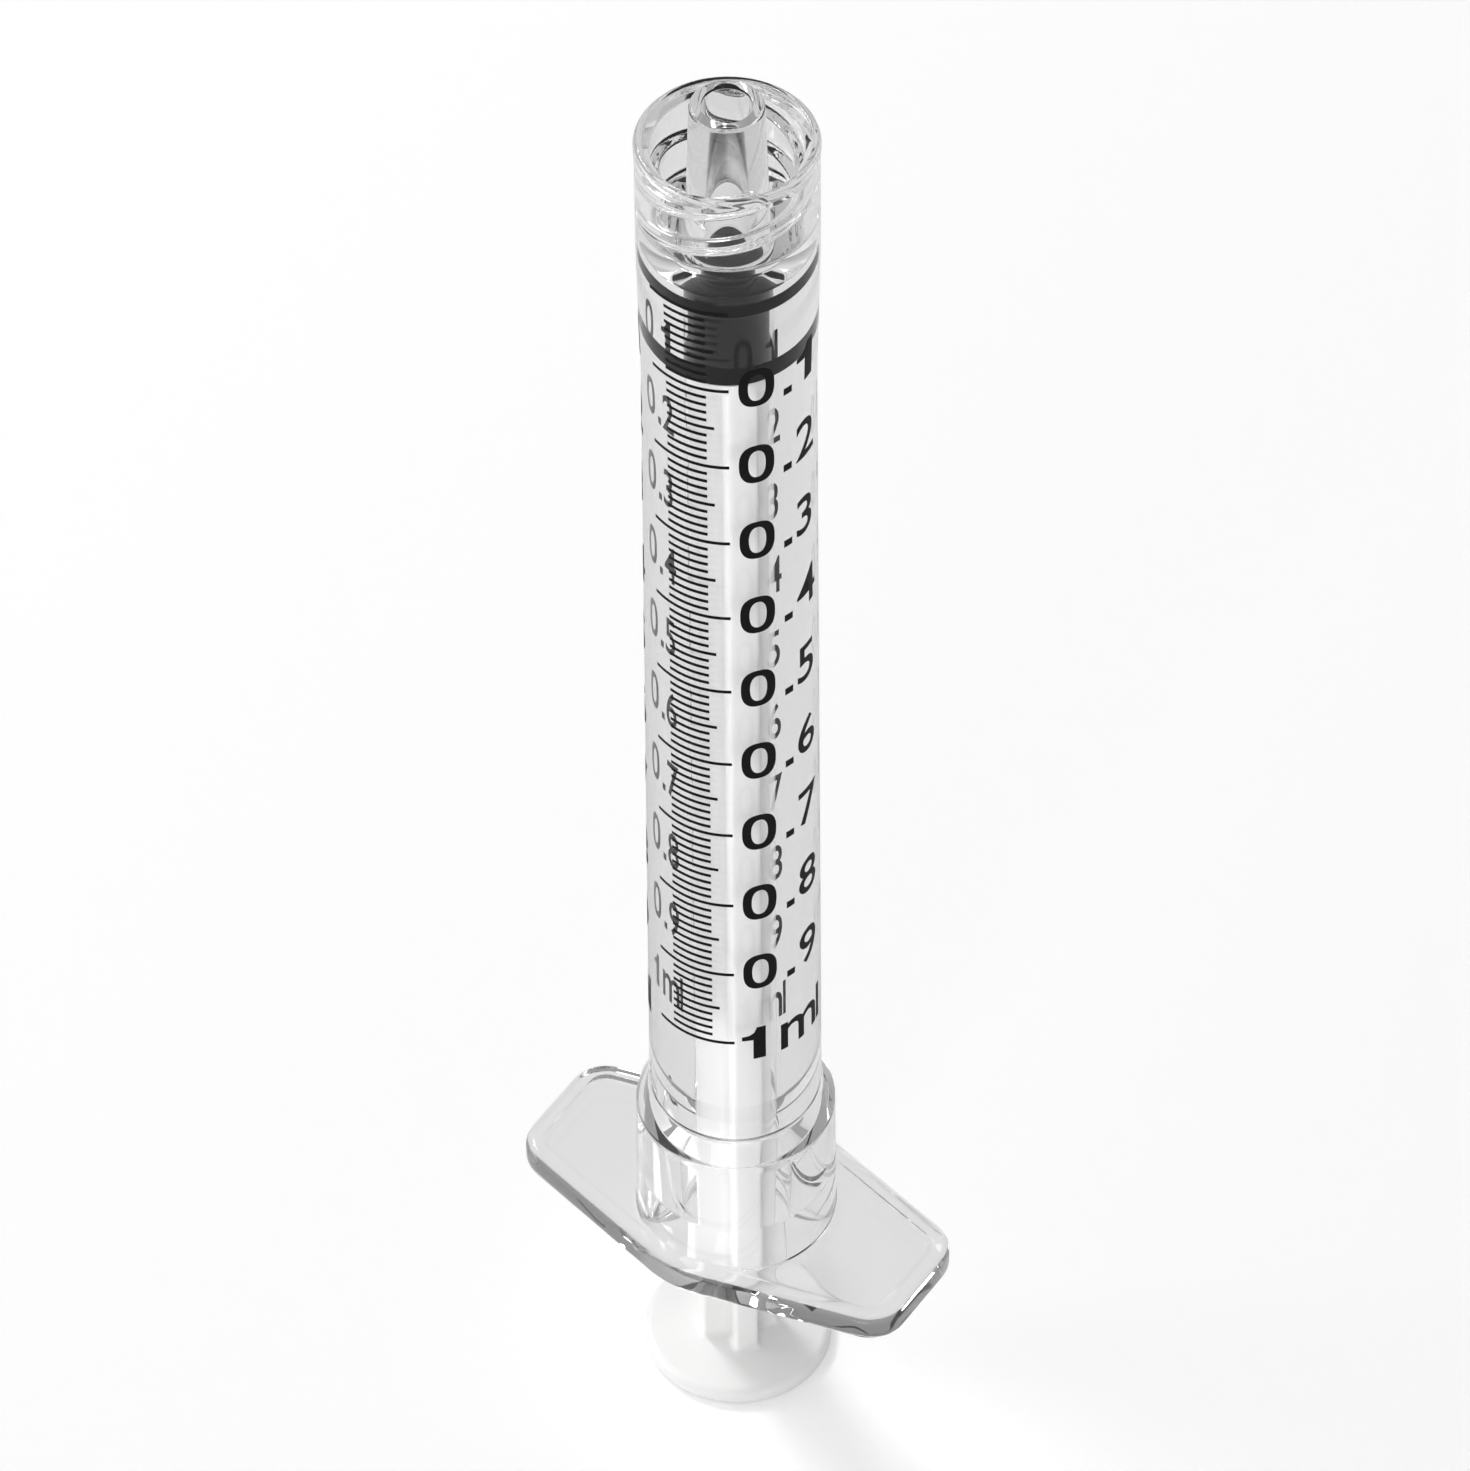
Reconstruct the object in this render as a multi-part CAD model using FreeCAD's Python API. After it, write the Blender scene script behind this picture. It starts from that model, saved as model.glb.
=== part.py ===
import FreeCAD, Part
import math
import os

os.makedirs("parts", exist_ok=True)

# One millilitre luer lock syringe, standing on its thumb disc with the plunger pressed home.
# Millimetres. The origin is the centre of the pressing face of the thumb disc, +Z runs to the tip,
# and the finger flange is long along X.

# Plunger
disc_r = 5.475
disc_t = 1.1
disc_edge_top = 0.45
disc_edge_bottom = 0.3
dish_r = 4.2
dish_depth = 0.2
press_gap = 10.0
rib_reach = 2.2
rib_t = 1.3
rib_turn_deg = 49.0
rib_edge_r = 0.2
core_fillet = 0.4
pusher_t = 0.9
pusher_seat = 0.04
neck_r = 0.95
neck_len = 1.5
head_r = 1.35
head_len = 1.7

# Bore of the barrel, from the open end to the front wall
bore_r = 2.363
front_wall_t = 1.7
end_cone_h = 0.75
mouth_r = 3.9
mouth_h = 3.35
counterbore_r = 3.0
counterbore_len = 4.8
counterbore_cone_h = 1.3
bead_r = 2.27
bead_len = 0.5
bead_ramp = 0.45

# Finger flange
flange_half_len = 12.8
flange_half_width = 7.12
flange_slope = 0.2535
flange_t = 1.75
flange_corner_r = 2.3
flange_edge_r = 0.4
flange_base_cut = 0.25
flange_rim_w = 1.0
flange_recess = 0.4
flange_recess_cut = 0.15

# Outside of the barrel, upwards from the flange
hub_r = 5.68
hub_draft = 0.06
hub_len = 10.15
shoulder_h = 1.6
tube_r = 4.9
tube_draft = 0.25
tube_len = 56.65
collar_fair_h = 9.3
collar_r = 4.825
collar_len = 7.4
lip_r = 4.87
lip_h = 0.8

# Luer lock collar: conical tip with a 6 per cent taper and a two-start internal thread
collar_depth = 5.4
collar_root_r = 4.0
collar_mouth_r = 4.42
collar_mouth_h = 0.55
tip_r = 1.975
tip_taper = 0.03
tip_proud = 2.4
lumen_r = 1.3
thread_crest_r = 3.5
thread_lead = 5.0
thread_starts = 2
thread_turns = 0.86
thread_root_w = 1.1
thread_crest_w = 0.45
thread_first_z = 0.55
thread_phase_deg = 23.0
thread_bury = 0.12

# Stopper
stopper_gap = 0.02
stopper_len = 7.35
stopper_end_gap = 0.06
seal_len = 1.5
seal_round = 0.3
waist_r = 2.1
head_gap = 0.05
head_end_gap = 0.08

# Corners of a turned outline below this radius are cut straight
smallest_round = 0.5

# Heights that several pieces share
barrel_z = disc_t + press_gap
hub_top_z = barrel_z + hub_len
tube_start_z = hub_top_z + shoulder_h
tube_end_z = tube_start_z + tube_len
collar_start_z = tube_end_z + collar_fair_h
rim_z = collar_start_z + collar_len
collar_floor_z = rim_z - collar_depth
tip_end_z = rim_z + tip_proud
bore_end_z = collar_floor_z - front_wall_t
stopper_front_z = bore_end_z - stopper_end_gap
stopper_rear_z = stopper_front_z - stopper_len
pusher_z = stopper_rear_z - pusher_seat


def revolve_place(a, b):
    return FreeCAD.Vector(a, 0, b)


def corner_arc(before, corner, after, radius):
    """Start, middle and end of the arc that rounds a corner."""
    back = (before - corner).normalize()
    ahead = (after - corner).normalize()
    half = back.getAngle(ahead) / 2
    cut = radius / math.tan(half)
    inward = (back + ahead).normalize()
    middle = corner + inward * (radius / math.sin(half) - radius)
    return corner + back * cut, middle, corner + ahead * cut


def rounded_face(corners, place):
    """Face inside a closed outline of (a, b, corner radius)."""
    spots = [place(a, b) for a, b, radius in corners]
    joints = []
    for i, (a, b, radius) in enumerate(corners):
        before = spots[i - 1]
        after = spots[(i + 1) % len(spots)]
        if radius > 0:
            joints.append(corner_arc(before, spots[i], after, radius))
        else:
            joints.append((spots[i], None, spots[i]))
    edges = []
    for i, (start, middle, end) in enumerate(joints):
        if corners[i][2] >= smallest_round:
            edges.append(Part.Arc(start, middle, end).toShape())
        elif middle is not None:
            edges.append(Part.LineSegment(start, end).toShape())
        ahead = joints[(i + 1) % len(joints)][0]
        if end.distanceToPoint(ahead) > 1e-6:
            edges.append(Part.LineSegment(end, ahead).toShape())
    return Part.Face(Part.Wire(edges))


def turned(corners):
    """Solid of revolution about Z from an outline of (radius, height, corner radius)."""
    face = rounded_face(corners, revolve_place)
    return face.revolve(FreeCAD.Vector(0, 0, 0), FreeCAD.Vector(0, 0, 1), 360)


def wing_prism(inset, z, height):
    """Flange outline, moved inwards by inset, raised from z by height."""
    half_len = flange_half_len - inset
    half_width = flange_half_width - inset * math.hypot(1, flange_slope)
    end_half = half_width - flange_slope * half_len
    corner_r = flange_corner_r - inset
    middle_r = half_width / math.hypot(1, flange_slope)
    outline = [
        (half_len, -end_half, corner_r),
        (half_len, end_half, corner_r),
        (0, half_width, middle_r),
        (-half_len, end_half, corner_r),
        (-half_len, -end_half, corner_r),
        (0, -half_width, middle_r),
    ]
    face = rounded_face(outline, lambda a, b: FreeCAD.Vector(a, b, z))
    return face.extrude(FreeCAD.Vector(0, 0, height))


def level_edges(solid, z):
    """Edges that lie flat at height z."""
    def is_level(edge):
        box = edge.BoundBox
        return abs(box.ZMin - z) < 1e-5 and abs(box.ZMax - z) < 1e-5
    return [edge for edge in solid.Edges if is_level(edge)]


def make_flange():
    """Two-winged finger flange with a raised rim round two shallow pockets."""
    top_z = barrel_z + flange_t
    plate = wing_prism(0, barrel_z, flange_t)
    plate = plate.makeFillet(flange_edge_r, level_edges(plate, top_z))
    plate = plate.makeChamfer(flange_base_cut, level_edges(plate, barrel_z))
    pocket = wing_prism(flange_rim_w, top_z - flange_recess, flange_recess)
    pocket = pocket.makeChamfer(flange_recess_cut, level_edges(pocket, top_z - flange_recess))
    return plate.cut(pocket)


def make_thread():
    """Ridges of the internal thread, one solid for each start."""
    outer_r = collar_root_r + thread_bury
    ridges = []
    for start in range(thread_starts):
        turn = thread_phase_deg + 360 * start / thread_starts
        low_z = collar_floor_z + thread_first_z
        path = Part.makeHelix(thread_lead, thread_lead * thread_turns, collar_root_r)
        section = Part.makePolygon([
            FreeCAD.Vector(outer_r, 0, -thread_root_w / 2),
            FreeCAD.Vector(thread_crest_r, 0, -thread_crest_w / 2),
            FreeCAD.Vector(thread_crest_r, 0, thread_crest_w / 2),
            FreeCAD.Vector(outer_r, 0, thread_root_w / 2),
            FreeCAD.Vector(outer_r, 0, -thread_root_w / 2),
        ])
        ridge = Part.Wire(path.Edges).makePipeShell([section], True, True)
        ridge.rotate(FreeCAD.Vector(0, 0, 0), FreeCAD.Vector(0, 0, 1), turn)
        ridge.translate(FreeCAD.Vector(0, 0, low_z))
        ridges.append(ridge)
    return ridges


def make_barrel():
    """Clear barrel with its flange, thick wall, luer tip and threaded collar, moulded in one piece."""
    tip_base_r = tip_r + tip_taper * (tip_end_z - collar_floor_z)
    cone_z = bore_end_z - end_cone_h
    flare_z = barrel_z + mouth_h + counterbore_len
    bead_z = flare_z + counterbore_cone_h
    body = turned([
        (mouth_r, barrel_z, 0.3),
        (hub_r + hub_draft, barrel_z, 0),
        (hub_r, hub_top_z, 0.55),
        (tube_r, tube_start_z, 1.2),
        (tube_r - tube_draft, tube_end_z, 0),
        (collar_r, collar_start_z, 0),
        (collar_r, rim_z - lip_h, 0),
        (lip_r, rim_z - lip_h / 2, 0),
        (lip_r, rim_z, 0.16),
        (collar_mouth_r, rim_z, 0.16),
        (collar_root_r, rim_z - collar_mouth_h, 0.3),
        (collar_root_r, collar_floor_z, 0.35),
        (tip_base_r, collar_floor_z, 0.3),
        (tip_r, tip_end_z, 0.3),
        (lumen_r, tip_end_z, 0.15),
        (lumen_r, bore_end_z, 0.2),
        (bore_r, cone_z, 0.2),
        (bore_r, bead_z + bead_len + bead_ramp, 0.3),
        (bead_r, bead_z + bead_len, 0.2),
        (bead_r, bead_z, 0.2),
        (counterbore_r, flare_z, 0.25),
        (counterbore_r, barrel_z + mouth_h, 0.4),
    ])
    plug = Part.makeCylinder(hub_r, flange_t, FreeCAD.Vector(0, 0, barrel_z))
    flange = make_flange().cut(plug)
    barrel = body.fuse([flange] + make_thread())
    return barrel.removeSplitter()


def make_stopper():
    """Rubber stopper: two sealing ribs, a waist, a conical face and the undercut pocket for the rod's head."""
    seal_r = bore_r - stopper_gap
    nose_z = stopper_front_z
    front_z = stopper_front_z - end_cone_h
    hole_r = neck_r + head_gap
    pocket_r = head_r + head_gap
    neck_top_z = pusher_z + neck_len
    pocket_low_z = neck_top_z - head_end_gap
    pocket_top_z = neck_top_z + head_len + head_end_gap
    return turned([
        (0, nose_z, 0),
        (lumen_r, nose_z, 0.2),
        (seal_r, front_z, seal_round),
        (seal_r, front_z - seal_len, seal_round),
        (waist_r, front_z - seal_len - 0.25, 0.1),
        (waist_r, stopper_rear_z + seal_len + 0.25, 0.1),
        (seal_r, stopper_rear_z + seal_len, seal_round),
        (seal_r, stopper_rear_z, seal_round),
        (hole_r, stopper_rear_z, 0.1),
        (hole_r, pocket_low_z, 0),
        (pocket_r, pocket_low_z, 0),
        (pocket_r, pocket_top_z, 0.2),
        (0, pocket_top_z, 0),
    ])


def make_rib(turn_deg, height):
    """One web of the cross-shaped rod, longer than the round envelope that trims it."""
    span = 3 * rib_reach
    web = Part.makeBox(span, rib_t, height, FreeCAD.Vector(-span / 2, -rib_t / 2, 0))
    web.rotate(FreeCAD.Vector(0, 0, 0), FreeCAD.Vector(0, 0, 1), turn_deg)
    return web


def make_rod_shaft():
    """Cross-shaped shaft between the thumb disc and the pusher, with filleted inner corners."""
    low_z = disc_t / 2
    height = pusher_z - pusher_t / 2 - low_z
    cross = make_rib(0, height).fuse(make_rib(90, height)).removeSplitter()
    inner = [edge for edge in cross.Edges if is_inner_corner(edge)]
    cross = cross.makeFillet(core_fillet, inner)
    cross = cross.common(Part.makeCylinder(rib_reach, height))
    cross = cross.makeFillet(rib_edge_r, [edge for edge in cross.Edges if is_nose_edge(edge)])
    cross.rotate(FreeCAD.Vector(0, 0, 0), FreeCAD.Vector(0, 0, 1), rib_turn_deg - 90)
    cross.translate(FreeCAD.Vector(0, 0, low_z))
    return cross


def is_upright(edge):
    box = edge.BoundBox
    return box.ZLength > 1 and box.XLength < 1e-5 and box.YLength < 1e-5


def is_inner_corner(edge):
    """True for an upright edge in one of the four corners of the cross."""
    box = edge.BoundBox
    return is_upright(edge) and abs(abs(box.XMin) - rib_t / 2) < 1e-5 and abs(abs(box.YMin) - rib_t / 2) < 1e-5


def is_nose_edge(edge):
    """True for an upright edge where a web meets the round envelope."""
    return is_upright(edge) and abs(math.hypot(edge.BoundBox.XMin, edge.BoundBox.YMin) - rib_reach) < 1e-4


def make_plunger_rod():
    """Plunger: thumb disc, cross-shaped shaft, round pusher and the headed stud that holds the stopper."""
    pusher_low_z = pusher_z - pusher_t
    head_z = pusher_z + neck_len
    disc = turned([
        (0, dish_depth, 0),
        (dish_r - dish_depth, dish_depth, 0.2),
        (dish_r, 0, 0.1),
        (disc_r, 0, disc_edge_bottom),
        (disc_r, disc_t, disc_edge_top),
        (0, disc_t, 0),
    ])
    stud = turned([
        (0, pusher_low_z, 0),
        (rib_reach - pusher_t / 4, pusher_low_z, 0),
        (rib_reach, pusher_low_z + pusher_t / 4, 0.1),
        (rib_reach, pusher_z, 0.1),
        (neck_r, pusher_z, 0.1),
        (neck_r, head_z, 0),
        (head_r, head_z, 0.1),
        (head_r - 0.05, head_z + head_len * 0.35, 0.3),
        (neck_r * 0.7, head_z + head_len, 0.2),
        (0, head_z + head_len, 0),
    ])
    return disc.fuse([make_rod_shaft(), stud]).removeSplitter()


def write_step(name, shape):
    if not shape.isValid() or len(shape.Solids) != 1:
        raise RuntimeError(name + " is not one valid solid")
    shape.Solids[0].exportStep("parts/" + name + ".step")
    print(name, round(shape.Volume, 2), "mm3,", len(shape.Faces), "faces")


write_step("barrel", make_barrel())
write_step("stopper", make_stopper())
write_step("plunger_rod", make_plunger_rod())
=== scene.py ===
import math
import bmesh
import bpy
from mathutils import Matrix, Vector


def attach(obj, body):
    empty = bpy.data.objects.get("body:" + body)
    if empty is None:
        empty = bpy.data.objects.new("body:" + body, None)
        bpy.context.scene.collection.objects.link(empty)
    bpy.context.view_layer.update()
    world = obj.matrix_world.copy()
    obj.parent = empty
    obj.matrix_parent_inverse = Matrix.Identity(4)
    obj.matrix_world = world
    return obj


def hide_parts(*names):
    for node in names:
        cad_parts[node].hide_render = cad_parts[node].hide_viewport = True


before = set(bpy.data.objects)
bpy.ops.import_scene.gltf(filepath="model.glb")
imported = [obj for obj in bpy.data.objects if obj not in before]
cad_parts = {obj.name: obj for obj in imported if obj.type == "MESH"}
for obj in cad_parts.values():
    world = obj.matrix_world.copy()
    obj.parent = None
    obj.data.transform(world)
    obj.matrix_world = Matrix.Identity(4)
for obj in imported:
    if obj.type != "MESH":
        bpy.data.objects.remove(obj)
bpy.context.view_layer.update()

mm = 0.001       # lengths below are millimetres, and each mesh is scaled to metres at the end
slack = 0.01     # for picking vertices and edges by their place
weld = 0.0005
sliver = 0.0002


def bevelOffset(before, corner, after, radius):
    # how far along its edges a corner is cut back so that the round gets this radius
    half = (before - corner).angle(after - corner) / 2
    return radius / math.tan(half)


def outlineFace(bm, corners):
    # one flat face in the XZ plane from (radius, height, corner radius, segments), corners rounded
    spots = [Vector((r, 0, z)) for r, z, rounding, segments in corners]
    verts = [bm.verts.new(spot) for spot in spots]
    bm.faces.new(verts)
    for i, (r, z, rounding, segments) in enumerate(corners):
        if rounding > 0:
            cut = bevelOffset(spots[i - 1], spots[i], spots[(i + 1) % len(spots)], rounding)
            bmesh.ops.bevel(bm, geom=[verts[i]], offset=cut, offset_type="OFFSET", affect="VERTICES",
                            segments=segments, profile=0.5, material=-1)


def divideLong(bm, rows):
    # cuts the edges that lie in a window: (lowest r, highest r, lowest z, highest z, cuts)
    bmesh.ops.delete(bm, geom=bm.faces[:], context="FACES_ONLY")
    for lowR, highR, lowZ, highZ, cuts in rows:
        def inside(v):
            return lowR <= v.co.x <= highR and lowZ <= v.co.z <= highZ
        edges = [e for e in bm.edges if all(inside(v) for v in e.verts)]
        bmesh.ops.subdivide_edges(bm, edges=edges, cuts=cuts)


def turnOutline(bm, steps):
    # spins the outline's edges about Z, without the flat face that they came from
    bmesh.ops.delete(bm, geom=bm.faces[:], context="FACES_ONLY")
    bmesh.ops.spin(bm, geom=bm.verts[:] + bm.edges[:], cent=(0, 0, 0), axis=(0, 0, 1),
                   angle=2 * math.pi, steps=steps, use_merge=True, use_duplicate=False)
    bmesh.ops.remove_doubles(bm, verts=bm.verts, dist=weld)
    bmesh.ops.dissolve_degenerate(bm, edges=bm.edges, dist=sliver)
    bmesh.ops.recalc_face_normals(bm, faces=bm.faces)


def joinInto(bm, part):
    # adds a part's mesh to another, and frees the part
    joined = bpy.data.meshes.new("joinedPart")
    part.to_mesh(joined)
    part.free()
    bm.from_mesh(joined)
    bpy.data.meshes.remove(joined)


def addTurned(bm, corners, steps):
    # a turned part whose outline starts and ends on the axis
    part = bmesh.new()
    outlineFace(part, corners)
    axisEdges = [e for e in part.edges if all(v.co.x < slack for v in e.verts)]
    bmesh.ops.delete(part, geom=axisEdges, context="EDGES")
    turnOutline(part, steps)
    joinInto(bm, part)


def raiseFaces(bm, faces, height):
    # pulls flat faces up into a solid, and returns its top
    made = bmesh.ops.extrude_face_region(bm, geom=faces)["geom"]
    moved = [g for g in made if isinstance(g, bmesh.types.BMVert)]
    bmesh.ops.translate(bm, vec=(0, 0, height), verts=moved)
    return [g for g in made if isinstance(g, bmesh.types.BMFace)]


def moveToRadius(v, radius):
    # slides a vertex towards or away from the Z axis
    share = radius / math.hypot(v.co.x, v.co.y)
    v.co.x *= share
    v.co.y *= share


def finishPiece(name, bm, material, body, sharpDegrees):
    # bm is in millimetres, and is used up
    bmesh.ops.scale(bm, vec=(mm, mm, mm), verts=bm.verts)
    mesh = bpy.data.meshes.new(name)
    bm.to_mesh(mesh)
    bm.free()
    piece = bpy.data.objects.new(name, mesh)
    bpy.context.scene.collection.objects.link(piece)
    mesh.materials.append(material)
    mesh.shade_smooth()
    mesh.set_sharp_from_angle(angle=math.radians(sharpDegrees))
    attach(piece, body)
    print(name, len(mesh.polygons), "faces")
    return piece


def smoothStep(t):
    t = min(1, max(0, t))
    return t * t * (3 - 2 * t)


def newMaterial(name):
    material = bpy.data.materials.new(name)
    material.use_nodes = True
    nodes = material.node_tree.nodes
    nodes.clear()
    links = material.node_tree.links
    output = nodes.new("ShaderNodeOutputMaterial")
    shader = nodes.new("ShaderNodeBsdfPrincipled")
    coords = nodes.new("ShaderNodeTexCoord")
    return material, nodes, links, output, shader, coords


def addNoise(nodes, links, coords, scale, stretch=(1, 1, 1), detail=3):
    place = nodes.new("ShaderNodeMapping")
    place.inputs["Scale"].default_value = stretch
    noise = nodes.new("ShaderNodeTexNoise")
    noise.inputs["Scale"].default_value = scale
    noise.inputs["Detail"].default_value = detail
    links.new(coords.outputs["Object"], place.inputs["Vector"])
    links.new(place.outputs["Vector"], noise.inputs["Vector"])
    return noise


def addRange(nodes, links, source, low, high):
    spread = nodes.new("ShaderNodeMapRange")
    spread.inputs["To Min"].default_value = low
    spread.inputs["To Max"].default_value = high
    links.new(source, spread.inputs["Value"])
    return spread


def addBump(nodes, links, source, shader, strength, distance):
    bump = nodes.new("ShaderNodeBump")
    bump.inputs["Strength"].default_value = strength
    bump.inputs["Distance"].default_value = distance
    links.new(source, bump.inputs["Height"])
    links.new(bump.outputs["Normal"], shader.inputs["Normal"])


clearLook = {
    "colour": (0.985, 0.986, 0.988, 1),
    "ior": 1.585,           # polycarbonate
    "mirror": (0.25, 0.25, 0.25, 1),   # weaker than real, so that the dark stopper stays dark
    "pipeDepth": 2.5,       # light with more inner reflections than this leaves the wall
    "pipeShadeLow": 0.45,        # painted shade on the trapped light: its tone towards the flange, and towards the tip
    "pipeShadeHigh": 0.93,
    "pipeLowZ": 0.02,       # metres
    "pipeHighZ": 0.08,
    "shadowColour": (0.99, 0.99, 0.99, 1),
    "waveScale": 260,       # moulded waviness, per metre
    "waveStretch": (1, 1, 0.25),
    "waveStrength": 0.25,
    "waveDepth": 0.00002,
    "hazeScale": 900,
    "roughLow": 0.0,
    "roughHigh": 0.03,
}


def makeClearPlastic():
    look = clearLook
    material, nodes, links, output, shader, coords = newMaterial("clearPlastic")
    shader.inputs["Base Color"].default_value = look["colour"]
    shader.inputs["Transmission Weight"].default_value = 1.0
    shader.inputs["IOR"].default_value = look["ior"]
    shader.inputs["Specular Tint"].default_value = look["mirror"]
    waves = addNoise(nodes, links, coords, look["waveScale"], look["waveStretch"], 1)
    addBump(nodes, links, waves.outputs["Fac"], shader, look["waveStrength"], look["waveDepth"])
    haze = addNoise(nodes, links, coords, look["hazeScale"])
    rough = addRange(nodes, links, haze.outputs["Fac"], look["roughLow"], look["roughHigh"])
    links.new(rough.outputs["Result"], shader.inputs["Roughness"])
    # light caught inside the wall goes straight on in the end, with painted shade that darkens it towards
    # the flange
    ray = nodes.new("ShaderNodeLightPath")
    trapped = nodes.new("ShaderNodeMath")
    trapped.operation = "GREATER_THAN"
    trapped.inputs[1].default_value = look["pipeDepth"]
    links.new(ray.outputs["Glossy Depth"], trapped.inputs[0])
    leaving = nodes.new("ShaderNodeBsdfRefraction")
    split = nodes.new("ShaderNodeSeparateXYZ")
    links.new(coords.outputs["Object"], split.inputs["Vector"])
    # painted shade: a colour ramp over height darkens the trapped light towards the flange
    paintedPipeShade = addRange(nodes, links, split.outputs["Z"], look["pipeShadeLow"], look["pipeShadeHigh"])
    paintedPipeShade.inputs["From Min"].default_value = look["pipeLowZ"]
    paintedPipeShade.inputs["From Max"].default_value = look["pipeHighZ"]
    links.new(paintedPipeShade.outputs["Result"], leaving.inputs["Color"])
    leaving.inputs["Roughness"].default_value = 0.0
    leaving.inputs["IOR"].default_value = 1.0
    inner = nodes.new("ShaderNodeMixShader")
    links.new(trapped.outputs["Value"], inner.inputs["Fac"])
    links.new(shader.outputs["BSDF"], inner.inputs[1])
    links.new(leaving.outputs["BSDF"], inner.inputs[2])
    # lamps shine through, so that the shadow stays light
    passing = nodes.new("ShaderNodeBsdfTransparent")
    passing.inputs["Color"].default_value = look["shadowColour"]
    mix = nodes.new("ShaderNodeMixShader")
    links.new(ray.outputs["Is Shadow Ray"], mix.inputs["Fac"])
    links.new(inner.outputs["Shader"], mix.inputs[1])
    links.new(passing.outputs["BSDF"], mix.inputs[2])
    links.new(mix.outputs["Shader"], output.inputs["Surface"])
    return material


# noise scales are per metre, and depths are metres
solidLooks = {
    "blackInk": {
        "gloss": 0.06, "roughLow": 0.35, "roughHigh": 0.6,
        "dark": (0.003, 0.003, 0.0035, 1), "light": (0.011, 0.011, 0.012, 1), "toneScale": 9000,
        "skinScale": 9000, "skinStrength": 0.2, "skinDepth": 0.00001,
    },
    "darkRubber": {
        "gloss": 0.06, "roughLow": 0.35, "roughHigh": 0.55,
        "dark": (0.004, 0.004, 0.0045, 1), "light": (0.011, 0.011, 0.0115, 1), "toneScale": 700,
        "skinScale": 6000, "skinStrength": 0.3, "skinDepth": 0.00002,
    },
    "whitePlastic": {
        "gloss": 0.4, "roughLow": 0.32, "roughHigh": 0.45,
        "dark": (0.86, 0.86, 0.855, 1), "light": (0.90, 0.90, 0.895, 1), "toneScale": 120,
        "skinScale": 3500, "skinStrength": 0.15, "skinDepth": 0.00002,
    },
}


def makeSolid(name):
    # mottled between two close tones, with a fine grain on its skin
    look = solidLooks[name]
    material, nodes, links, output, shader, coords = newMaterial(name)
    shader.inputs["Specular IOR Level"].default_value = look["gloss"]
    mottle = addNoise(nodes, links, coords, look["toneScale"])
    tone = nodes.new("ShaderNodeValToRGB")
    tone.color_ramp.elements[0].color = look["dark"]
    tone.color_ramp.elements[1].color = look["light"]
    links.new(mottle.outputs["Fac"], tone.inputs["Fac"])
    links.new(tone.outputs["Color"], shader.inputs["Base Color"])
    rough = addRange(nodes, links, mottle.outputs["Fac"], look["roughLow"], look["roughHigh"])
    links.new(rough.outputs["Result"], shader.inputs["Roughness"])
    skin = addNoise(nodes, links, coords, look["skinScale"])
    addBump(nodes, links, skin.outputs["Fac"], shader, look["skinStrength"], look["skinDepth"])
    links.new(shader.outputs["BSDF"], output.inputs["Surface"])
    return material


clearPlastic = makeClearPlastic()
blackInk = makeSolid("blackInk")
darkRubber = makeSolid("darkRubber")
whitePlastic = makeSolid("whitePlastic")
print("materials made")


barrel = {
    "backZ": 11.1,           # the flange's underside
    "boreR": 2.363,
    "boreEndZ": 89.1,        # the front wall, with a cone before it
    "endCone": 0.75,
    "mouthR": 3.9,           # the bore's flared mouth, and the wider stretch after it
    "mouthH": 3.35,
    "flareR": 3.0,
    "flareLen": 4.8,
    "flareCone": 1.3,
    "beadR": 2.27,           # the bead that keeps the stopper in
    "beadLen": 0.5,
    "beadRamp": 0.45,
    "wingHalfLen": 12.8,
    "wingHalfWidth": 7.12,   # where the wings' sides would meet over the axis
    "wingSlope": 0.2535,     # how far the sides come in per unit of length
    "wingT": 1.75,
    "wingCorner": 2.3,
    "wingEdge": 0.55,        # rounding of the top edge, and of the bottom one
    "wingBase": 0.4,
    "rimW": 1.0,             # the rim round the two pockets
    "rimSlope": 0.3,
    "recess": 0.4,
    "pocketFade": 0.6,       # where the pocket runs out against the hub
    "leastCorner": 0.2,
    "hubR": 5.68,
    "hubDraft": 0.06,        # how much wider the hub is at its foot
    "hubFootRound": 0.2,
    "hubTopZ": 21.25,
    "tubeR": 4.9,
    "tubeStartZ": 22.85,
    "tubeDraft": 0.25,       # how much thinner the tube is at its front
    "tubeEndZ": 79.5,
    "collarR": 4.825,
    "collarStartZ": 88.8,
    "rimZ": 96.2,            # the collar's open end
    "lipR": 4.87,
    "lipH": 0.8,
    "collarDepth": 5.4,
    "collarRootR": 4.0,
    "collarMouthR": 4.42,
    "collarMouthH": 0.55,
    "tipR": 1.975,           # the luer tip, at its end and where it meets the collar's floor
    "tipBaseR": 2.209,
    "tipZ": 98.6,
    "lumenR": 1.3,           # the fluid hole
    "threadCrestR": 3.5,     # two ridges, half a turn apart
    "threadLead": 5.0,
    "threadTurns": 0.86,
    "threadRootW": 1.1,
    "threadCrestW": 0.45,
    "threadFirstZ": 0.55,    # above the collar's floor
    "threadPhase": 23.0,     # degrees from +X to where the first ridge starts
    "threadEndTurn": 9,       # degrees over which a ridge rises from the wall
    "steps": 300,            # round the whole turn
    "threadRings": 66,
    "pocketRings": 7,
    "undersideRings": 9,
    "sharpDegrees": 60,
}


def outerRadius(z):
    # the tube's outside radius at a height on its straight part or fairing
    b = barrel
    if z < b["tubeEndZ"]:
        t = (z - b["tubeStartZ"]) / (b["tubeEndZ"] - b["tubeStartZ"])
        return b["tubeR"] - b["tubeDraft"] * t
    t = (z - b["tubeEndZ"]) / (b["collarStartZ"] - b["tubeEndZ"])
    return b["tubeR"] - b["tubeDraft"] + (b["collarR"] - b["tubeR"] + b["tubeDraft"]) * min(1, t)


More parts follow.
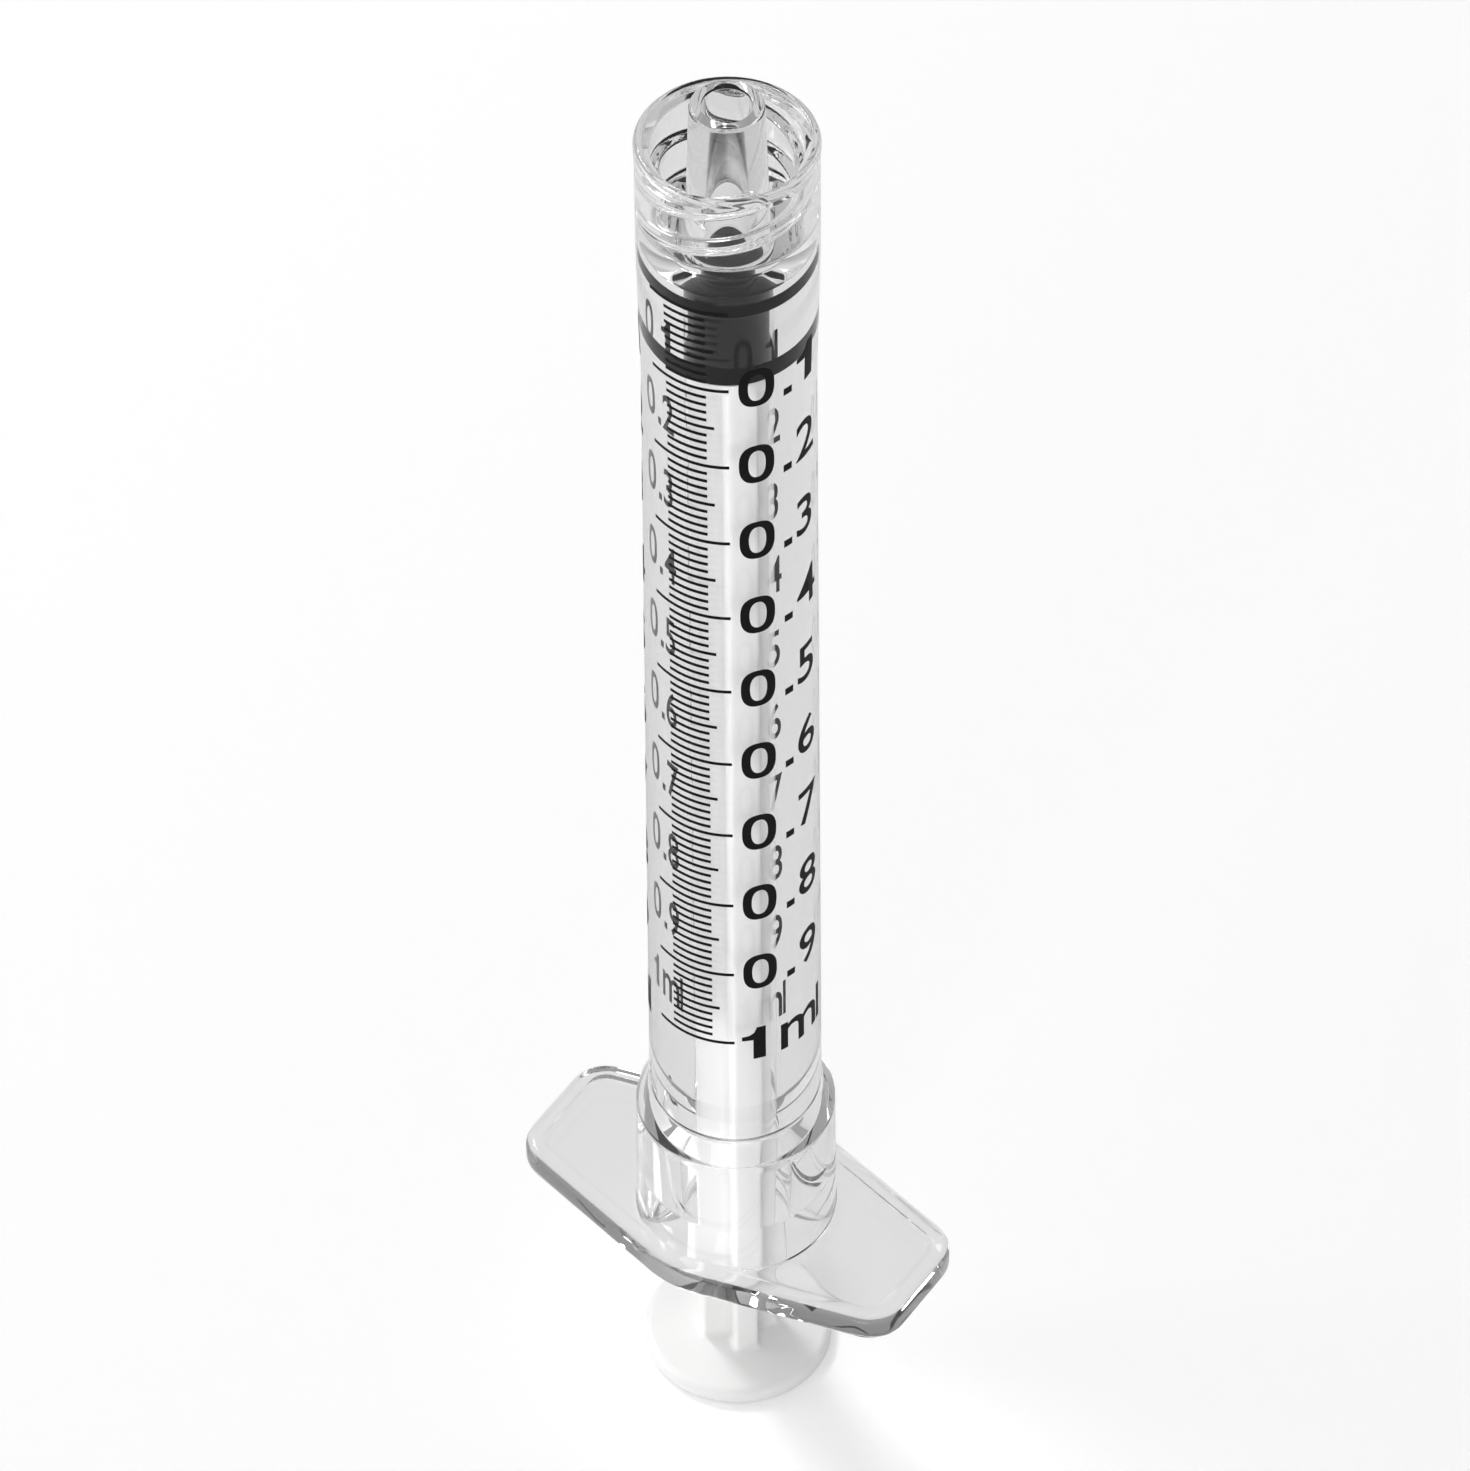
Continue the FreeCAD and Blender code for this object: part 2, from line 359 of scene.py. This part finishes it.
def wingRadius(angle, inset):
    # distance from the axis to the flange's outline moved inwards by inset, at an angle from +X
    b = barrel
    angle = abs(math.remainder(angle, 2 * math.pi))
    angle = min(angle, math.pi - angle)
    normal = math.atan2(1, b["wingSlope"])
    side = b["wingHalfWidth"] / math.hypot(1, b["wingSlope"]) - inset
    end = b["wingHalfLen"] - inset
    rounding = max(b["leastCorner"], b["wingCorner"] - inset)
    across = (side - rounding - (end - rounding) * math.cos(normal)) / math.sin(normal)
    centre = Vector((end - rounding, across))
    touch = centre + rounding * Vector((math.cos(normal), math.sin(normal)))
    if angle < math.atan2(centre.y, end):
        return end / math.cos(angle)
    if angle < math.atan2(touch.y, touch.x):
        ray = Vector((math.cos(angle), math.sin(angle)))
        along = ray.dot(centre)
        return along + math.sqrt(along * along - centre.length_squared + rounding * rounding)
    if angle < normal:
        return side / math.cos(angle - normal)
    return side


def barrelCorners():
    # (radius, height, corner radius, segments), from the mouth out round the flange and back down the bore
    b = barrel
    topZ = b["backZ"] + b["wingT"]
    hubFootR = b["hubR"] + b["hubDraft"]
    wingR = b["wingHalfLen"]
    flareZ = b["backZ"] + b["mouthH"] + b["flareLen"]
    beadZ = flareZ + b["flareCone"]
    floorZ = b["rimZ"] - b["collarDepth"]
    return [
        (b["mouthR"], b["backZ"], 0.25, 4),
        (wingR, b["backZ"], b["wingBase"], 3),
        (wingR, topZ, b["wingEdge"], 6),
        (wingR - b["rimW"], topZ, 0.2, 5),
        (wingR - b["rimW"] - b["rimSlope"], topZ - b["recess"], 0.3, 5),
        (hubFootR, topZ - b["recess"], b["hubFootRound"], 4),
        (b["hubR"], b["hubTopZ"], 0.55, 7),
        (b["tubeR"], b["tubeStartZ"], 1.2, 8),
        (b["tubeR"] - b["tubeDraft"], b["tubeEndZ"], 9, 4),
        (b["collarR"], b["collarStartZ"], 9, 4),
        (b["collarR"], b["rimZ"] - b["lipH"], 1, 2),
        (b["lipR"], b["rimZ"] - b["lipH"] / 2, 1, 2),
        (b["lipR"], b["rimZ"], 0.3, 6),
        (b["collarMouthR"], b["rimZ"], 0.16, 4),
        (b["collarRootR"], b["rimZ"] - b["collarMouthH"], 0.3, 4),
        (b["collarRootR"], floorZ, 0.35, 5),
        (b["tipBaseR"], floorZ, 0.3, 5),
        (b["tipR"], b["tipZ"], 0.2, 6),
        (b["lumenR"], b["tipZ"], 0.1, 4),
        (b["lumenR"], b["boreEndZ"], 0.2, 4),
        (b["boreR"], b["boreEndZ"] - b["endCone"], 0.2, 4),
        (b["boreR"], beadZ + b["beadLen"] + b["beadRamp"], 0.3, 3),
        (b["beadR"], beadZ + b["beadLen"], 0.2, 3),
        (b["beadR"], beadZ, 0.2, 3),
        (b["flareR"], flareZ, 0.25, 4),
        (b["flareR"], b["backZ"] + b["mouthH"], 0.5, 5),
    ]


def threadHeight(angle, z):
    # how far the luer thread's two ridges stand in from the collar's wall, at an angle in radians
    b = barrel
    depth = b["collarRootR"] - b["threadCrestR"]
    lowZ = b["rimZ"] - b["collarDepth"] + b["threadFirstZ"]
    total = 360 * b["threadTurns"]
    height = 0
    for start in (0, 180):
        for lap in (-360, 0, 360):
            along = math.degrees(angle) - b["threadPhase"] - start + lap
            if 0 <= along <= total:
                away = abs(z - lowZ - b["threadLead"] * along / 360)
                flank = (b["threadRootW"] / 2 - away) / ((b["threadRootW"] - b["threadCrestW"]) / 2)
                rise = smoothStep(along / b["threadEndTurn"])
                fall = smoothStep((total - along) / b["threadEndTurn"])
                ends = rise * fall
                height = max(height, depth * smoothStep(flank) * ends)
    return height


def shapeWings(bm):
    # pulls the round flange in to its two-winged outline, and lets the pockets run out against the hub
    b = barrel
    topZ = b["backZ"] + b["wingT"]
    footR = b["hubR"] + b["hubDraft"] + b["hubFootRound"]
    rimFootInset = 1.8   # the rim keeps its width as far in as this, and the pockets inside it shrink
    soft = 0.25          # an outline that would cut into the hub eases off over this
    underHub = 0.1
    clearOfEdge = 0.05

    def clearOfHub(radius):
        gap = radius - footR
        return footR + (gap if gap > soft else soft * math.exp(gap / soft - 1))

    for v in bm.verts:
        radius = math.hypot(v.co.x, v.co.y)
        if radius < footR or v.co.z > topZ + slack:
            continue
        angle = math.atan2(v.co.y, v.co.x)
        if radius > b["wingHalfLen"] - rimFootInset:
            placed = clearOfHub(wingRadius(angle, b["wingHalfLen"] - radius))
        else:
            t = (radius - footR) / (b["wingHalfLen"] - rimFootInset - footR)
            placed = footR + t * (clearOfHub(wingRadius(angle, rimFootInset)) - footR)
        moveToRadius(v, placed)
    for v in bm.verts:
        radius = math.hypot(v.co.x, v.co.y)
        if topZ - b["recess"] - slack < v.co.z < topZ and radius > b["hubR"] - underHub:
            angle = math.atan2(v.co.y, v.co.x)
            if radius < wingRadius(angle, b["wingEdge"] + clearOfEdge):
                opening = smoothStep((wingRadius(angle, b["rimW"]) - footR) / b["pocketFade"])
                v.co.z = topZ - (topZ - v.co.z) * opening


def cutThread(bm):
    # pulls the collar's inner wall in to the thread's ridges
    b = barrel
    floorZ = b["rimZ"] - b["collarDepth"]
    for v in bm.verts:
        radius = math.hypot(v.co.x, v.co.y)
        if abs(radius - b["collarRootR"]) < 2 * slack and floorZ < v.co.z < b["rimZ"]:
            angle = math.atan2(v.co.y, v.co.x) % (2 * math.pi)
            moveToRadius(v, radius - threadHeight(angle, v.co.z))


def makeBarrelBody():
    b = barrel
    bm = bmesh.new()
    outlineFace(bm, barrelCorners())
    floorZ = b["rimZ"] - b["collarDepth"]
    pocketZ = b["backZ"] + b["wingT"] - b["recess"]
    divideLong(bm, [
        (b["collarRootR"] - slack, b["collarRootR"] + slack, floorZ, b["rimZ"], b["threadRings"]),
        (b["hubR"], b["wingHalfLen"] - b["rimW"], pocketZ - slack, pocketZ + slack, b["pocketRings"]),
        (b["mouthR"], b["wingHalfLen"], b["backZ"] - slack, b["backZ"] + slack, b["undersideRings"]),
    ])
    turnOutline(bm, b["steps"])
    shapeWings(bm)
    cutThread(bm)
    bmesh.ops.recalc_face_normals(bm, faces=bm.faces)
    piece = finishPiece("barrelBody", bm, clearPlastic, "barrel", b["sharpDegrees"])
    weighted = piece.modifiers.new("evenShading", "WEIGHTED_NORMAL")
    weighted.keep_sharp = True
    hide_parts("barrel")


makeBarrelBody()


scalePrint = {
    "zeroZ": 88.26,          # the 0 mL line
    "pitch": 0.57,           # 0.01 mL
    "lines": 101,
    "middle": 3.1,           # azimuth of the ticks' middle, degrees to the right of the -Y side
    "longLeft": 26.8,        # how far each length of tick reaches from there
    "longRight": 30.4,
    "midRight": 20.8,
    "shortRight": 15.8,
    "shortLeft": 13.6,
    "tickH": 0.22,
    "lift": 0.004,           # off the tube
    "inkT": 0.008,
    "digitH": 2.76,
    "digitBold": 0.00875,    # how far the typeface is fattened, as a share of its size
    "footBelow": 1.32,       # the figures' foot below their line
    "footLast": 1.47,
    "labelRight": 39.9,      # azimuth where the right-hand label starts
    "labelLeft": -109.1,
    "digitAt": 42.4,         # degrees from the label's start
    "zeroLabel": [("0", -0.3, 2.76), (".", 31.2, 0.5)],   # glyph, degrees from the label's start, height
    "drawn": {               # outlines one unit high
        "1": [(0, 0.61), (0.25, 0.61), (0.25, 0), (0.53, 0), (0.53, 1),
              (0.33, 1), (0.27, 0.84), (0.16, 0.76), (0, 0.73)],
        ".": [(0, 0), (1.13, 0), (1.13, 1), (0, 1)],
        "l": [(0, 0), (0.14, 0), (0.14, 1), (0, 1)],
    },
    "lastLabel": [("1", -1.6, 2.6), ("m", 25.8, 2.15), ("l", 63.0, 2.8)],
    "noughtLoops": [(0.358, 0.5, 0.78), (0.175, 0.35, 0.86)],   # half width, half height, power
    "noughtSteps": 48,
    "typeSteps": 6,
    "tickStep": 2.5,         # degrees
    "glyphStep": 0.25,       # a glyph is cut into strips this wide, to bend round the tube
    "glyphWeld": 0.00001,
    "sharpDegrees": 30,
}


def aroundTube(angle, z, lift):
    # a point on the tube's outside: azimuth in degrees to the right of -Y, height, and stand-off
    radius = outerRadius(z) + lift
    turn = math.radians(angle)
    return Vector((radius * math.sin(turn), -radius * math.cos(turn), z))


def addTick(bm, z, left, right):
    # a thin bar that follows the tube from one azimuth to another
    s = scalePrint
    low = z - s["tickH"] / 2
    corners = [(low, s["lift"]), (low, s["lift"] + s["inkT"]),
               (low + s["tickH"], s["lift"] + s["inkT"]), (low + s["tickH"], s["lift"])]
    steps = round((right - left) / s["tickStep"])
    loops = []
    for i in range(steps + 1):
        angle = left + (right - left) * i / steps
        loops.append([bm.verts.new(aroundTube(angle, height, lift)) for height, lift in corners])
    for near, far in zip(loops, loops[1:]):
        for i in range(4):
            bm.faces.new((near[i], near[(i + 1) % 4], far[(i + 1) % 4], far[i]))
    bm.faces.new(loops[0])
    bm.faces.new(loops[-1])


def drawFlat(bm, outline):
    # a glyph with straight sides
    face = bm.faces.new([bm.verts.new((x, y, 0)) for x, y in outline])
    raiseFaces(bm, [face], 1)


def drawZero(bm):
    # a squarish nought with thick sides and a thinner top and foot
    s = scalePrint
    steps = s["noughtSteps"]
    loops = []
    for halfWide, halfHigh, power in s["noughtLoops"]:
        loop = []
        for i in range(steps):
            turn = 2 * math.pi * i / steps
            across = math.copysign(abs(math.cos(turn)) ** power, math.cos(turn)) * halfWide
            up = math.copysign(abs(math.sin(turn)) ** power, math.sin(turn)) * halfHigh
            loop.append(bm.verts.new((across, up + 0.5, 0)))
        loops.append(loop)
    outer, inner = loops
    faces = []
    for i in range(steps):
        k = (i + 1) % steps
        faces.append(bm.faces.new((outer[i], outer[k], inner[k], inner[i])))
    raiseFaces(bm, faces, 1)


def typeText(bm, text):
    # the built-in typeface, made bold and one unit high
    s = scalePrint
    curve = bpy.data.curves.new("labelText", "FONT")
    curve.body = text
    curve.size = 1.0
    curve.offset = s["digitBold"]
    curve.resolution_u = s["typeSteps"]
    curve.extrude = 0.5
    holder = bpy.data.objects.new("labelText", curve)
    bpy.context.scene.collection.objects.link(holder)
    bpy.context.view_layer.update()
    mesh = bpy.data.meshes.new_from_object(holder.evaluated_get(bpy.context.evaluated_depsgraph_get()))
    bpy.data.objects.remove(holder)
    bpy.data.curves.remove(curve)
    bm.from_mesh(mesh)
    bpy.data.meshes.remove(mesh)
    bmesh.ops.remove_doubles(bm, verts=bm.verts, dist=s["glyphWeld"])
    low = min(v.co.y for v in bm.verts)
    high = max(v.co.y for v in bm.verts)
    bmesh.ops.translate(bm, vec=(0, -low, 0.5), verts=bm.verts)
    bmesh.ops.scale(bm, vec=(1 / (high - low), 1 / (high - low), 1), verts=bm.verts)


def addGlyph(bm, glyph, footZ, startAngle, height):
    # wraps one glyph round the tube, with its foot at footZ
    s = scalePrint
    label = bmesh.new()
    if glyph in s["drawn"]:
        drawFlat(label, s["drawn"][glyph])
    elif glyph == "0":
        drawZero(label)
    else:
        typeText(label, glyph)
    left = min(v.co.x for v in label.verts)
    right = max(v.co.x for v in label.verts)
    bmesh.ops.translate(label, vec=(-left, 0, 0), verts=label.verts)
    bmesh.ops.scale(label, vec=(height, height, s["inkT"]), verts=label.verts)
    cut = s["glyphStep"]
    while cut < (right - left) * height:
        bmesh.ops.bisect_plane(label, geom=label.verts[:] + label.edges[:] + label.faces[:],
                               dist=s["glyphWeld"], plane_co=(cut, 0, 0), plane_no=(1, 0, 0))
        cut += s["glyphStep"]
    radius = outerRadius(footZ)
    for v in label.verts:
        v.co = aroundTube(startAngle + math.degrees(v.co.x / radius), footZ + v.co.y, s["lift"] + v.co.z)
    bmesh.ops.recalc_face_normals(label, faces=label.faces)
    joinInto(bm, label)


def makeScalePrint():
    s = scalePrint
    bm = bmesh.new()
    for i in range(s["lines"]):
        left, right = s["shortLeft"], s["shortRight"]
        if i % 5 == 0:
            right = s["midRight"]
        if i % 10 == 0:
            left, right = s["longLeft"], s["longRight"]
        addTick(bm, s["zeroZ"] - s["pitch"] * i, s["middle"] - left, s["middle"] + right)
    for i in range(1, 11):
        z = s["zeroZ"] - s["pitch"] * 10 * i
        footZ = z - (s["footLast"] if i == 10 else s["footBelow"])
        glyphs = s["lastLabel"] if i == 10 else s["zeroLabel"] + [(str(i), s["digitAt"], s["digitH"])]
        for glyph, ahead, height in glyphs:
            addGlyph(bm, glyph, footZ, s["labelRight"] + ahead, height)
            addGlyph(bm, glyph, footZ, s["labelLeft"] + ahead, height)
    bmesh.ops.recalc_face_normals(bm, faces=bm.faces)
    piece = finishPiece("scalePrint", bm, blackInk, "barrel", s["sharpDegrees"])


makeScalePrint()


stopper = {
    "noseZ": 89.04,
    "noseR": 1.3,
    "rearZ": 81.69,
    "sealR": 2.375,          # the rubber is squeezed against the bore, so it touches the wall
    "coneH": 1.3,
    "frontSealLen": 0.95,
    "rearSealLen": 1.5,
    "sealRound": 0.3,
    "noseRound": 0.2,
    "waistR": 2.1,           # between the two seals
    "waistRamp": 0.25,
    "smallRound": 0.1,
    "holeR": 1.0,            # the hole and the pocket that hold the rod's head
    "pocketR": 1.4,
    "pocketLowZ": 83.07,
    "pocketTopZ": 84.93,
    "pocketRound": 0.2,
    "steps": 144,
    "sharpDegrees": 50,
}


def makeStopper():
    s = stopper
    frontZ = s["noseZ"] - s["coneH"]
    bm = bmesh.new()
    addTurned(bm, [
        (0, s["noseZ"], 0, 0),
        (s["noseR"], s["noseZ"], s["noseRound"], 4),
        (s["sealR"], frontZ, s["sealRound"], 5),
        (s["sealR"], frontZ - s["frontSealLen"], s["sealRound"], 5),
        (s["waistR"], frontZ - s["frontSealLen"] - s["waistRamp"], s["smallRound"], 3),
        (s["waistR"], s["rearZ"] + s["rearSealLen"] + s["waistRamp"], s["smallRound"], 3),
        (s["sealR"], s["rearZ"] + s["rearSealLen"], s["sealRound"], 5),
        (s["sealR"], s["rearZ"], s["sealRound"], 5),
        (s["holeR"], s["rearZ"], s["smallRound"], 3),
        (s["holeR"], s["pocketLowZ"], 0, 0),
        (s["pocketR"], s["pocketLowZ"], 0, 0),
        (s["pocketR"], s["pocketTopZ"], s["pocketRound"], 4),
        (0, s["pocketTopZ"], 0, 0),
    ], s["steps"])
    piece = finishPiece("stopperRubber", bm, darkRubber, "stopper", s["sharpDegrees"])
    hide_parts("stopper")


makeStopper()


plunger = {
    "discR": 5.475,
    "discT": 1.1,
    "edgeTop": 0.45,
    "edgeBottom": 0.3,
    "dishR": 4.2,            # the shallow dish that the thumb presses
    "dishDepth": 0.2,
    "dishRound": 0.2,
    "reach": 2.2,            # the ribs' and the pusher's outer edge from the axis
    "ribT": 1.3,
    "ribTurn": 49.0,         # degrees
    "ribEdge": 0.2,
    "ribEdgeSteps": 4,
    "coreFillet": 0.4,
    "coreSteps": 5,
    "footFillet": 0.35,
    "footSteps": 6,
    "footReach": 0.3,        # the most that the foot's fillet stands out
    "pusherZ": 81.65,        # the face that pushes the stopper
    "pusherT": 0.9,
    "neckR": 0.95,
    "neckLen": 1.5,
    "headR": 1.35,           # held in the stopper's pocket
    "headLen": 1.7,
    "headSide": 0.35,        # share of the head's length before its cone
    "headTaper": 0.05,
    "headNose": 0.7,         # the blunt end's radius, as a share of the neck's
    "smallRound": 0.1,
    "pusherEdge": 0.2,
    "discSteps": 192,
    "endSteps": 96,
    "sharpDegrees": 45,
}


def addShaft(bm):
    # the cross section is drawn flat, its corners rounded, then pulled up along the rod
    p = plunger
    half = p["ribT"] / 2
    shaft = bmesh.new()
    ring = []
    for quarter in range(4):
        turn = Matrix.Rotation(math.radians(90 * quarter), 3, "Z")
        for x, y in ((half, half), (half, p["reach"]), (-half, p["reach"])):
            ring.append(shaft.verts.new(turn @ Vector((x, y, p["discT"] / 2))))
    shaft.faces.new(ring)
    for i, v in enumerate(ring):
        rounding, segments = p["ribEdge"], p["ribEdgeSteps"]
        if i % 3 == 0:
            # a corner between two ribs
            rounding, segments = p["coreFillet"], p["coreSteps"]
        bmesh.ops.bevel(shaft, geom=[v], offset=rounding, offset_type="OFFSET", affect="VERTICES",
                        segments=segments, profile=0.5, material=-1)
    heights = [p["discT"]]
    for i in range(1, p["footSteps"] + 1):
        heights.append(p["discT"] + p["footFillet"] * i / p["footSteps"])
    heights.append(p["pusherZ"] - p["pusherT"] / 2)
    z = p["discT"] / 2
    face = shaft.faces[:][0]
    for height in heights:
        face = raiseFaces(shaft, [face], height - z)[0]
        z = height
    # near the disc the walls flare out into a fillet, and above it they keep within the reach
    shaft.normal_update()
    walls = {}
    for v in shaft.verts:
        outward = Vector((0, 0, 0))
        for f in v.link_faces:
            if abs(f.normal.z) < 0.5:
                outward += f.normal
        walls[v] = Vector((outward.x, outward.y, 0)).normalized()
    for v in shaft.verts:
        rise = v.co.z - p["discT"]
        if rise < p["footFillet"]:
            rise = max(0, rise)
            flare = p["footFillet"] - math.sqrt(p["footFillet"] ** 2 - (p["footFillet"] - rise) ** 2)
            v.co += walls[v] * min(flare, p["footReach"])
        else:
            if math.hypot(v.co.x, v.co.y) > p["reach"]:
                moveToRadius(v, p["reach"])
    bmesh.ops.rotate(shaft, cent=(0, 0, 0), matrix=Matrix.Rotation(math.radians(p["ribTurn"]), 3, "Z"),
                     verts=shaft.verts)
    bmesh.ops.recalc_face_normals(shaft, faces=shaft.faces)
    joinInto(bm, shaft)


def makePlunger():
    p = plunger
    bm = bmesh.new()
    addTurned(bm, [
        (0, p["dishDepth"], 0, 0),
        (p["dishR"] - p["dishDepth"], p["dishDepth"], p["dishRound"], 3),
        (p["dishR"], 0, p["smallRound"], 3),
        (p["discR"], 0, p["edgeBottom"], 5),
        (p["discR"], p["discT"], p["edgeTop"], 7),
        (0, p["discT"], 0, 0),
    ], p["discSteps"])
    addShaft(bm)
    headZ = p["pusherZ"] + p["neckLen"]
    lowZ = p["pusherZ"] - p["pusherT"]
    addTurned(bm, [
        (0, lowZ, 0, 0),
        (p["reach"] - p["pusherEdge"], lowZ, 0, 0),
        (p["reach"], lowZ + p["pusherEdge"], p["smallRound"], 2),
        (p["reach"], p["pusherZ"], p["smallRound"], 3),
        (p["neckR"], p["pusherZ"], p["smallRound"], 3),
        (p["neckR"], headZ, 0, 0),
        (p["headR"], headZ, p["smallRound"], 3),
        (p["headR"] - p["headTaper"], headZ + p["headLen"] * p["headSide"], 0.3, 4),
        (p["neckR"] * p["headNose"], headZ + p["headLen"], 0.2, 4),
        (0, headZ + p["headLen"], 0, 0),
    ], p["endSteps"])
    piece = finishPiece("plungerRod", bm, whitePlastic, "plunger", p["sharpDegrees"])
    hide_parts("plunger_rod")


makePlunger()


view = {
    "azimuth": 33.9,         # degrees to the right of the -Y side
    "elevation": 47.04,
    "distance": 534.25,
    "aside": 0.14,           # how far right of the axis the camera aims
    "aimZ": 51.25,
    "roll": -0.505,          # degrees
    "lens": 238.94,
    "sensor": 36,
    "near": 0.01,            # metres
    "far": 20,
}

stage = {
    "floorHalf": 0.6,        # metres, as the lamps
    "floorRough": 0.8,
    "floorTone": 0.89,       # as the clear plastic and the lamps meet it
    "floorSeen": 0.97,       # as the camera meets it, for a white ground
    "floorGlow": 0.17,
    "worldStrength": 0.5,
    "mirrorTones": [(0.1, 0.35), (0.6, 0.6), (0.95, 0.85)],   # height in the sky, tone in the reflections
}

# each lamp: power in watts, then size, place and aim height in metres
lamps = {
    "keyLamp": (2.8, 0.24, (-0.62, 0.25, 0.75), 0.0),
    "sideLamp": (3.2, 0.5, (-0.90, -0.42, 0.2), 0.05),
    "frontLamp": (3.0, 0.5, (0.30, -0.94, 0.18), 0.05),
}


def makeFloor():
    material, nodes, links, output, shader, coords = newMaterial("paleFloor")
    shader.inputs["Roughness"].default_value = stage["floorRough"]
    shader.inputs["Specular IOR Level"].default_value = 0.0
    ray = nodes.new("ShaderNodeLightPath")
    tone = addRange(nodes, links, ray.outputs["Is Camera Ray"], stage["floorTone"], stage["floorSeen"])
    links.new(tone.outputs["Result"], shader.inputs["Base Color"])
    glow = addRange(nodes, links, ray.outputs["Is Camera Ray"], 0, stage["floorGlow"])
    shader.inputs["Emission Color"].default_value = (1, 1, 1, 1)
    links.new(glow.outputs["Result"], shader.inputs["Emission Strength"])
    links.new(shader.outputs["BSDF"], output.inputs["Surface"])
    bm = bmesh.new()
    bmesh.ops.create_grid(bm, x_segments=8, y_segments=8, size=stage["floorHalf"])
    mesh = bpy.data.meshes.new("floor")
    bm.to_mesh(mesh)
    bm.free()
    mesh.materials.append(material)
    floor = bpy.data.objects.new("floor", mesh)
    bpy.context.scene.collection.objects.link(floor)


def makeWorld():
    world = bpy.data.worlds.new("softStudio")
    bpy.context.scene.world = world
    world.use_nodes = True
    nodes = world.node_tree.nodes
    nodes.clear()
    links = world.node_tree.links
    output = nodes.new("ShaderNodeOutputWorld")
    soft = nodes.new("ShaderNodeBackground")
    soft.inputs["Strength"].default_value = stage["worldStrength"]
    soft.inputs["Color"].default_value = (1, 1, 1, 1)
    coords = nodes.new("ShaderNodeTexCoord")
    split = nodes.new("ShaderNodeSeparateXYZ")
    links.new(coords.outputs["Generated"], split.inputs["Vector"])
    tones = nodes.new("ShaderNodeValToRGB")
    elements = tones.color_ramp.elements
    elements.new(0.5)
    for element, (height, tone) in zip(elements, stage["mirrorTones"]):
        element.position = height
        element.color = (tone, tone, tone, 1)
    links.new(split.outputs["Z"], tones.inputs["Fac"])
    mirrored = nodes.new("ShaderNodeBackground")
    links.new(tones.outputs["Color"], mirrored.inputs["Color"])
    white = nodes.new("ShaderNodeBackground")
    white.inputs["Color"].default_value = (1, 1, 1, 1)
    ray = nodes.new("ShaderNodeLightPath")
    lit = nodes.new("ShaderNodeMixShader")
    links.new(ray.outputs["Is Glossy Ray"], lit.inputs["Fac"])   # true for refracted light too
    links.new(soft.outputs["Background"], lit.inputs[1])
    links.new(mirrored.outputs["Background"], lit.inputs[2])
    seen = nodes.new("ShaderNodeMixShader")
    links.new(ray.outputs["Is Camera Ray"], seen.inputs["Fac"])
    links.new(lit.outputs["Shader"], seen.inputs[1])
    links.new(white.outputs["Background"], seen.inputs[2])
    links.new(seen.outputs["Shader"], output.inputs["Surface"])


def makeLamps():
    for name, (power, size, spot, aimHeight) in lamps.items():
        lamp = bpy.data.lights.new(name, "AREA")
        lamp.shape = "DISK"
        lamp.size = size
        lamp.energy = power
        holder = bpy.data.objects.new(name, lamp)
        holder.location = spot
        towards = Vector((0, 0, aimHeight)) - holder.location
        holder.rotation_euler = towards.to_track_quat("-Z", "Y").to_euler()
        bpy.context.scene.collection.objects.link(holder)


def makeCamera():
    v = view
    azimuth = math.radians(v["azimuth"])
    elevation = math.radians(v["elevation"])
    back = Vector((math.sin(azimuth) * math.cos(elevation), -math.cos(azimuth) * math.cos(elevation),
                   math.sin(elevation)))
    right = Vector((math.cos(azimuth), math.sin(azimuth), 0))
    target = (right * v["aside"] + Vector((0, 0, v["aimZ"]))) * mm
    data = bpy.data.cameras.new("photoCamera")
    data.lens = v["lens"]
    data.sensor_width = v["sensor"]
    data.clip_start = v["near"]
    data.clip_end = v["far"]
    camera = bpy.data.objects.new("photoCamera", data)
    bpy.context.scene.collection.objects.link(camera)
    rolled = back.to_track_quat("Z", "Y").to_matrix() @ Matrix.Rotation(math.radians(v["roll"]), 3, "Z")
    camera.matrix_world = Matrix.Translation(target + back * v["distance"] * mm) @ rolled.to_4x4()
    bpy.context.scene.camera = camera


makeFloor()
makeWorld()
makeLamps()
makeCamera()
bpy.context.scene.view_settings.view_transform = "Standard"
print("stage set")
